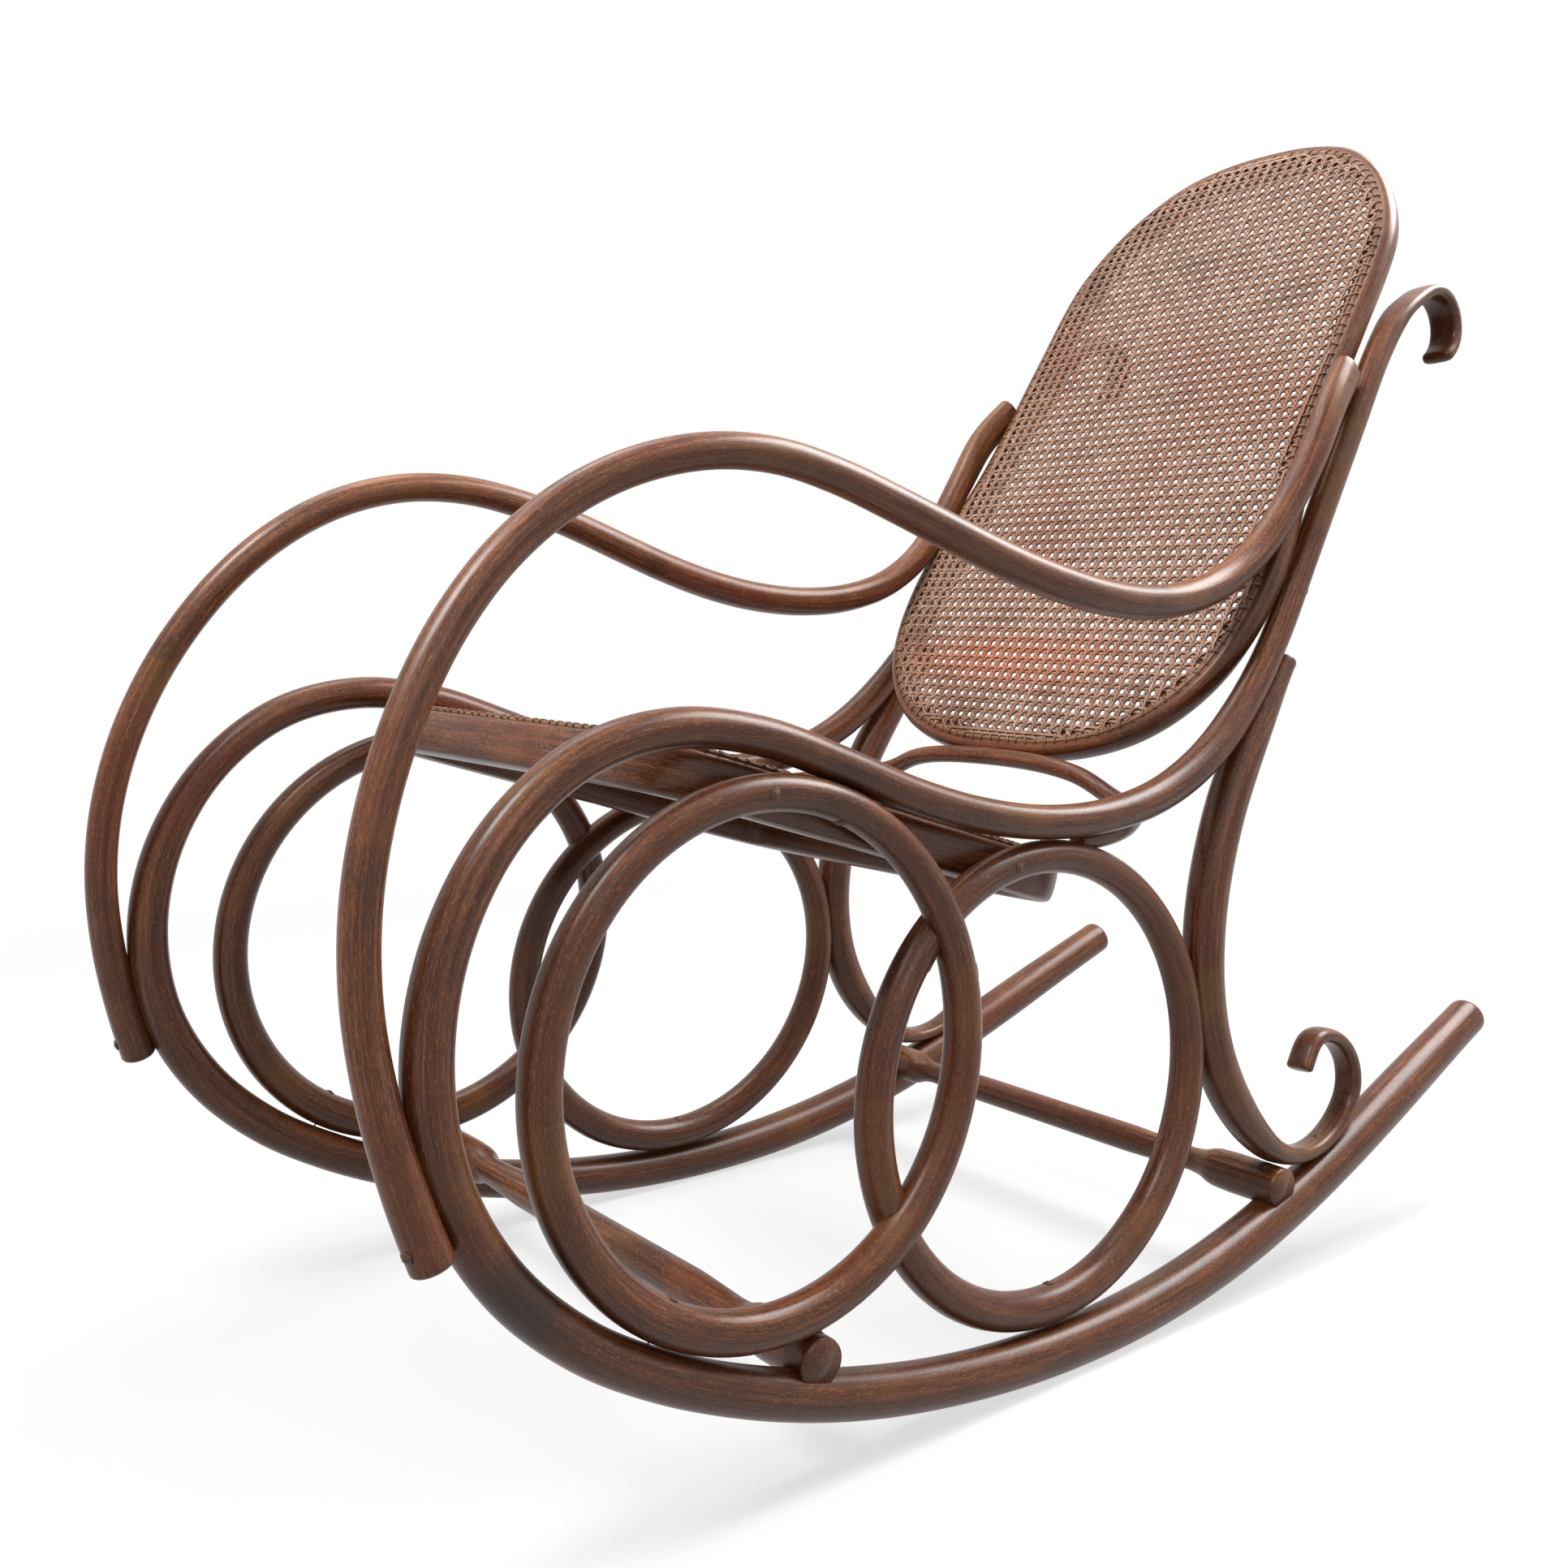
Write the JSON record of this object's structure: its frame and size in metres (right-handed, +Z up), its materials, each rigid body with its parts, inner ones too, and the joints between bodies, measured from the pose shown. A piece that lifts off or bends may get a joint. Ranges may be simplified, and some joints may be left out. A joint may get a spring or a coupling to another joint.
{
  "type": "bentwood rocking chair",
  "caption": "Bentwood rocking chair with looped side runners, rings in each side, scrolled posts, and a woven cane seat and back.",
  "frame": {"origin": "on the floor under the middle of the chair's box, standing at rest as pictured", "axes": "+X towards the sitter's left, +Y towards the rear, +Z up"},
  "size_m": [0.5532, 1.1754, 1.0381],
  "materials": {
    "dark_beech": "dark walnut stain, semi-gloss, worn",
    "warm_beech": "walnut stain with warmer patches, semi-gloss, worn",
    "cane": "aged six-way woven cane",
    "reed": "aged reed spline",
    "screw_steel": "darkened steel"
  },
  "bodies": {
    "root": {"left_main_bend": "dark_beech", "left_front_ring": "dark_beech", "left_rear_ring": "dark_beech", "left_rear_s_leg": "dark_beech", "left_arm": "warm_beech", "left_arm_front_screw": "screw_steel", "left_arm_rear_screw": "screw_steel", "left_back_screw": "screw_steel", "left_hoop_screw": "screw_steel", "left_seat_front_screw": "screw_steel", "left_seat_rear_screw": "screw_steel", "left_leg_top_screw": "screw_steel", "left_leg_foot_screw": "screw_steel", "left_front_ring_top_screw": "screw_steel", "left_front_ring_foot_screw": "screw_steel", "left_rear_ring_top_screw": "screw_steel", "left_rear_ring_foot_screw": "screw_steel", "left_front_stretcher_screw": "screw_steel", "left_rear_stretcher_screw": "screw_steel", "right_main_bend": "dark_beech", "right_front_ring": "dark_beech", "right_rear_ring": "dark_beech", "right_rear_s_leg": "dark_beech", "right_arm": "warm_beech", "right_arm_front_screw": "screw_steel", "right_arm_rear_screw": "screw_steel", "right_back_screw": "screw_steel", "right_hoop_screw": "screw_steel", "right_seat_front_screw": "screw_steel", "right_seat_rear_screw": "screw_steel", "right_leg_top_screw": "screw_steel", "right_leg_foot_screw": "screw_steel", "right_front_ring_top_screw": "screw_steel", "right_front_ring_foot_screw": "screw_steel", "right_rear_ring_top_screw": "screw_steel", "right_rear_ring_foot_screw": "screw_steel", "right_front_stretcher_screw": "screw_steel", "right_rear_stretcher_screw": "screw_steel", "back_frame": "dark_beech", "seat_ring": "dark_beech", "rear_hoop": "dark_beech", "front_stretcher": "dark_beech", "rear_stretcher": "dark_beech", "back_spline": "reed", "seat_spline": "reed", "back_cane": "cane", "seat_cane": "cane"}
  },
  "joints": []
}
